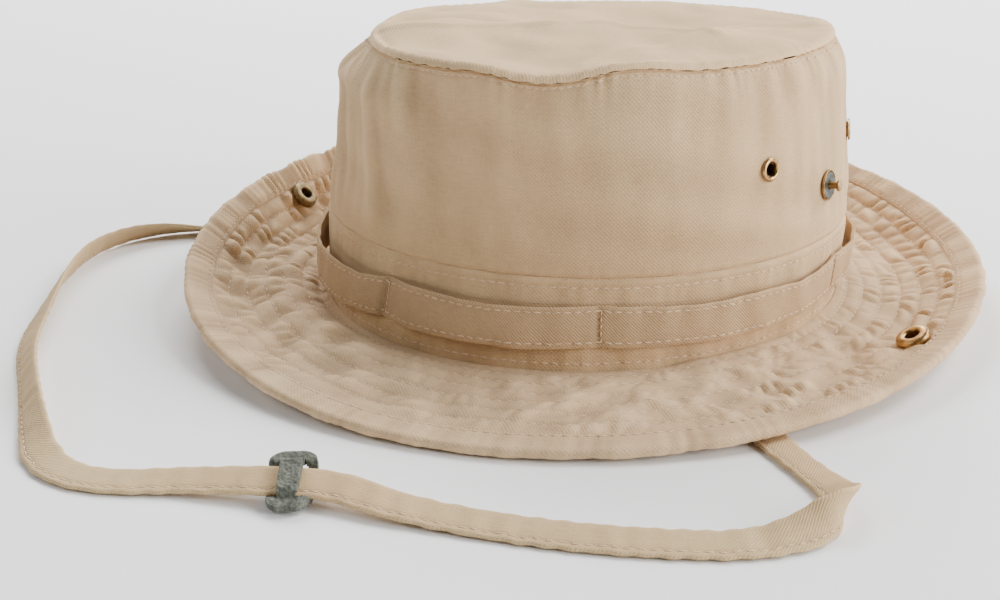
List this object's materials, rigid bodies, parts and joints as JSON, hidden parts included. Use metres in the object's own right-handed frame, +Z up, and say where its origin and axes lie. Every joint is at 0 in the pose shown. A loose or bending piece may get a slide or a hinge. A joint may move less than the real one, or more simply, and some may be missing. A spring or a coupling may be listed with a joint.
{
  "type": "cotton bush hat with chin strap",
  "caption": "Soft cotton bush hat with a flat-topped crown, stitched brim, loop band, side snaps, eyelets and a flat chin strap with a leather slider.",
  "frame": {"origin": "floor level, under the middle of the hat's outline without the strap", "axes": "+Z up out of the crown's top, +X to the side with the lower brim, -Y to the front"},
  "size_m": [0.3146, 0.3534, 0.0969],
  "materials": {
    "crown_cotton": "plain-woven washed khaki cotton",
    "loop_cotton": "khaki cotton twill tape, stitched along both edges",
    "brim_cotton": "two layers of washed khaki cotton, quilted in rings and puckered",
    "strap_cotton": "folded khaki cotton twill strap with one stitch row",
    "aged_brass": "antique brass, rubbed bright on its edges",
    "dark_metal": "blackened steel with a soft sheen",
    "grey_leather": "matt mottled grey split leather"
  },
  "bodies": {
    "root": {"crown_tip": "crown_cotton", "crown_side": "crown_cotton", "crown_base_band": "crown_cotton", "loop_band": "loop_cotton", "brim": "brim_cotton", "brim_binding": "brim_cotton", "eyelet_right_front": "aged_brass", "eyelet_right_rear": "aged_brass", "eyelet_left_front": "aged_brass", "eyelet_left_rear": "aged_brass", "snap_stud_right": "aged_brass", "snap_stud_left": "aged_brass", "snap_washer_right": "dark_metal", "snap_washer_left": "dark_metal", "snap_socket_right": "aged_brass", "snap_socket_left": "aged_brass", "chin_strap": "strap_cotton", "strap_slider": "grey_leather"}
  },
  "joints": []
}
